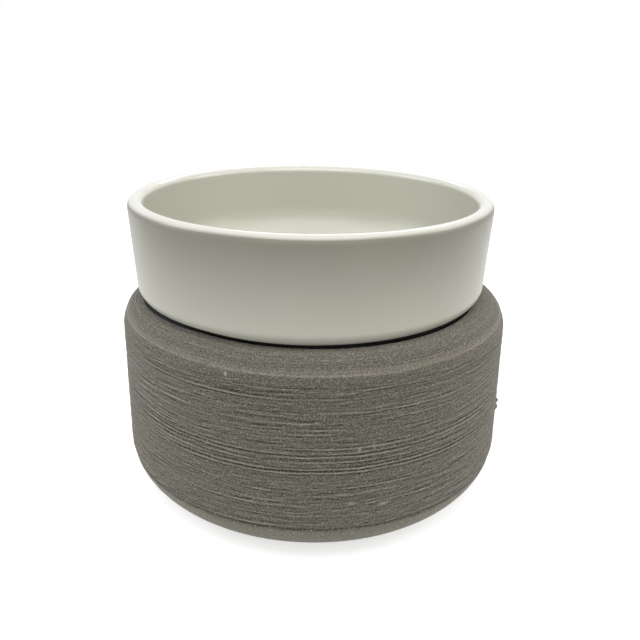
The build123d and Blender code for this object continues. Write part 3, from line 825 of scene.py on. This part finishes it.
def make_dish():
    """Turned dish with a rolled lip."""
    lip = DISH_WALL / 2
    lean = math.atan2(DISH_RIM_RADIUS - DISH_FOOT_RADIUS, DISH_HEIGHT - lip)
    middle = (DISH_RIM_RADIUS - lip, DISH_LOW + DISH_HEIGHT - lip)
    floor = DISH_LOW + DISH_FLOOR
    across, down = lip * math.cos(lean), lip * math.sin(lean)
    below = rounded_section([
        (0, DISH_LOW, 0, BOTTOM_ROW),
        (DISH_FOOT_RADIUS, DISH_LOW, DISH_FOOT_ROUND, DISH_ROW),
        (middle[0] + across, middle[1] - down, 0, DISH_ROW),
    ], closed=False)
    above = rounded_section([
        (middle[0] - across, middle[1] + down, 0, DISH_ROW),
        (DISH_FOOT_RADIUS - DISH_WALL, floor, BOWL_ROUND, BOTTOM_ROW),
        (0, floor, 0, BOTTOM_ROW),
    ], closed=False)
    turns = [n * math.pi / RIM_STEPS - lean for n in range(1, RIM_STEPS)]
    rim = [(middle[0] + lip * math.cos(a), middle[1] + lip * math.sin(a)) for a in turns]
    section = np.vstack([below, np.array(rim), above])
    dish = shown("glazed_dish", turned_mesh("glazed_dish", section, DISH_SEGMENTS, closed=False))
    dish.data.transform(Matrix.Translation((DISH_SHIFT, 0, 0)))
    dish.data.materials.append(make_glaze())
    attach(dish, "dish")
    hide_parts("dish")


# Pieces that keep their CAD shape

def make_finishes():
    """One material for each material slot of the kept nodes."""
    steel = ((168, 170, 172), (188, 190, 192), (140, 142, 145))
    return {
        "black_coated_aluminium": finish_of(
            "black_coat", (18, 18, 18), (23, 23, 22), (13, 13, 13), 0.5,
            grain_scale=1800.0, bump_depth=0.03 * MM, rings=1500.0, specular=0.25),
        "dark_silicone": finish_of(
            "dark_silicone", (46, 46, 46), (56, 56, 55), (34, 34, 34), 0.7),
        "grey_silicone": finish_of(
            "grey_silicone", (126, 126, 122), (138, 138, 134), (108, 108, 104), 0.62),
        "mica": finish_of(
            "mica", (186, 176, 146), (206, 196, 166), (150, 138, 108), 0.4,
            patch_scale=220.0, patch=0.9, grain_scale=900.0),
        "resistance_alloy": finish_of(
            "resistance_alloy", (120, 112, 106), (142, 132, 120), (92, 84, 84), 0.35,
            metallic=1.0, patch_scale=150.0, patch=0.9),
        "ceramic_fibre": finish_of(
            "ceramic_fibre", (226, 224, 214), (236, 234, 226), (196, 192, 180), 0.95,
            patch_scale=150.0, bump_depth=0.15 * MM),
        "zinc_steel": finish_of(
            "zinc_steel", *steel, 0.32, metallic=1.0, patch_scale=180.0, patch=0.8),
        "bright_steel": finish_of(
            "rolled_steel", *steel, 0.25, metallic=1.0, stretch=(60.0, 4000.0, 4000.0)),
        "fuse_can": finish_of(
            "fuse_can", (176, 172, 160), (192, 188, 178), (150, 146, 134), 0.3, metallic=1.0),
        "glass_fibre": finish_of(
            "glass_braid", (222, 218, 204), (232, 228, 216), (180, 174, 156), 0.85,
            stretch=(2500.0, 5200.0, 5200.0), bump_depth=0.1 * MM),
        "tinned_copper": finish_of(
            "tinned_copper", (178, 174, 168), (196, 192, 186), (150, 140, 128), 0.35,
            metallic=1.0),
        "wire_insulation": finish_of(
            "wire_braid", (216, 212, 196), (226, 222, 208), (176, 170, 150), 0.75,
            stretch=(3600.0, 3600.0, 1800.0), bump_depth=0.08 * MM),
        "porcelain": finish_of(
            "porcelain", (228, 225, 216), (236, 233, 226), (208, 204, 192), 0.5),
        "brass": finish_of(
            "brass", (196, 164, 96), (212, 182, 116), (160, 128, 70), 0.3,
            metallic=1.0, patch_scale=200.0, patch=0.8),
        "black_phenolic": finish_of(
            "black_phenolic", (42, 41, 40), (50, 49, 47), (32, 31, 30), 0.45,
            grain_scale=1800.0, bump_depth=0.04 * MM, rings=500.0),
        "black_nylon": finish_of(
            "black_nylon", (36, 36, 36), (44, 44, 44), (28, 28, 28), 0.5,
            bump_depth=0.04 * MM),
    }


def clad_nodes(finishes):
    """Each kept CAD node gets the material of its slot."""
    slots = {row["node"]: row["material_slot"] for row in frame["record"]["subparts"]}
    for name, node in frame["nodes"].items():
        if slots[name] in finishes:
            node.data.materials.clear()
            node.data.materials.append(finishes[slots[name]])


# Stage

def seen_directly(tree):
    """1 for rays from the camera, and for those that a glossy or clear surface sends on."""
    rays = add(tree, "ShaderNodeLightPath").outputs
    seen = sums(tree, "ADD", rays["Is Camera Ray"], rays["Is Glossy Ray"])
    return sums(tree, "ADD", seen, rays["Is Transmission Ray"], clamp=True)


def make_table():
    """White table that ends out of sight, and keeps the object's shadow."""
    mesh = bpy.data.meshes.new("table")
    top = bmesh.new()
    bmesh.ops.create_circle(top, cap_ends=True, segments=TABLE_SIDES, radius=TABLE_RADIUS)
    top.to_mesh(mesh)
    top.free()
    table = linked("table", mesh)
    made, tree, shader = material("table_top")
    plug(tree, shader, {"Base Color": TABLE_COLOUR, "Roughness": 0.8})
    strength = sums(tree, "MULTIPLY", seen_directly(tree), TABLE_GLOW)
    glow = add(tree, "ShaderNodeEmission", {"Color": (1, 1, 1, 1), "Strength": strength})
    both = add(tree, "ShaderNodeAddShader", {0: shader.outputs[0], 1: glow.outputs[0]})
    plug(tree, tree.nodes["Material Output"], {"Surface": both.outputs[0]})
    mesh.materials.append(made)


def make_surround():
    """World that is white to the camera, and lights the object softly from above."""
    world = bpy.data.worlds.new("surround")
    bpy.context.scene.world = world
    world.use_nodes = True
    tree = world.node_tree
    direction = add(tree, "ShaderNodeTexCoord").outputs["Generated"]
    height = parts_of(tree, direction)[2]
    soft = spread(tree, height, -0.05, 0.7, 0.25, 0.75, smooth=True)
    strength = spread(tree, seen_directly(tree), 0.0, 1.0, soft, 1.0)
    plug(tree, tree.nodes["Background"], {"Color": (1, 1, 1, 1), "Strength": strength})


def make_lamps():
    """Soft rectangular lamps, each turned to its target."""
    for name, place, target, size, power, colour in LAMPS:
        data = bpy.data.lights.new(name, "AREA")
        data.shape = "RECTANGLE"
        data.size, data.size_y = size
        data.energy = power
        data.color = colour
        lamp = linked(name, data)
        lamp.location = place
        towards = Vector(target) - Vector(place)
        lamp.rotation_euler = towards.to_track_quat("-Z", "Y").to_euler()


def make_camera():
    """Camera where the photograph was taken from."""
    pitch, yaw, roll = CAMERA_PITCH, CAMERA_YAW, CAMERA_ROLL
    forward = Vector((math.sin(yaw) * math.cos(pitch), math.cos(yaw) * math.cos(pitch),
                      -math.sin(pitch)))
    level = Vector((math.cos(yaw), -math.sin(yaw), 0))
    upright = level.cross(forward)
    right = math.cos(roll) * level + math.sin(roll) * upright
    above = math.cos(roll) * upright - math.sin(roll) * level
    data = bpy.data.cameras.new("camera")
    data.lens = CAMERA_LENS
    data.sensor_width = CAMERA_SENSOR
    data.clip_start = CAMERA_NEAR
    camera = linked("camera", data)
    turn = Matrix((right, above, -forward)).transposed().to_4x4()
    camera.matrix_world = Matrix.Translation(CAMERA_PLACE) @ turn
    bpy.context.scene.camera = camera


make_shell()
make_dish()
clad_nodes(make_finishes())
make_table()
make_surround()
make_lamps()
make_camera()
bpy.context.scene.view_settings.view_transform = "Standard"
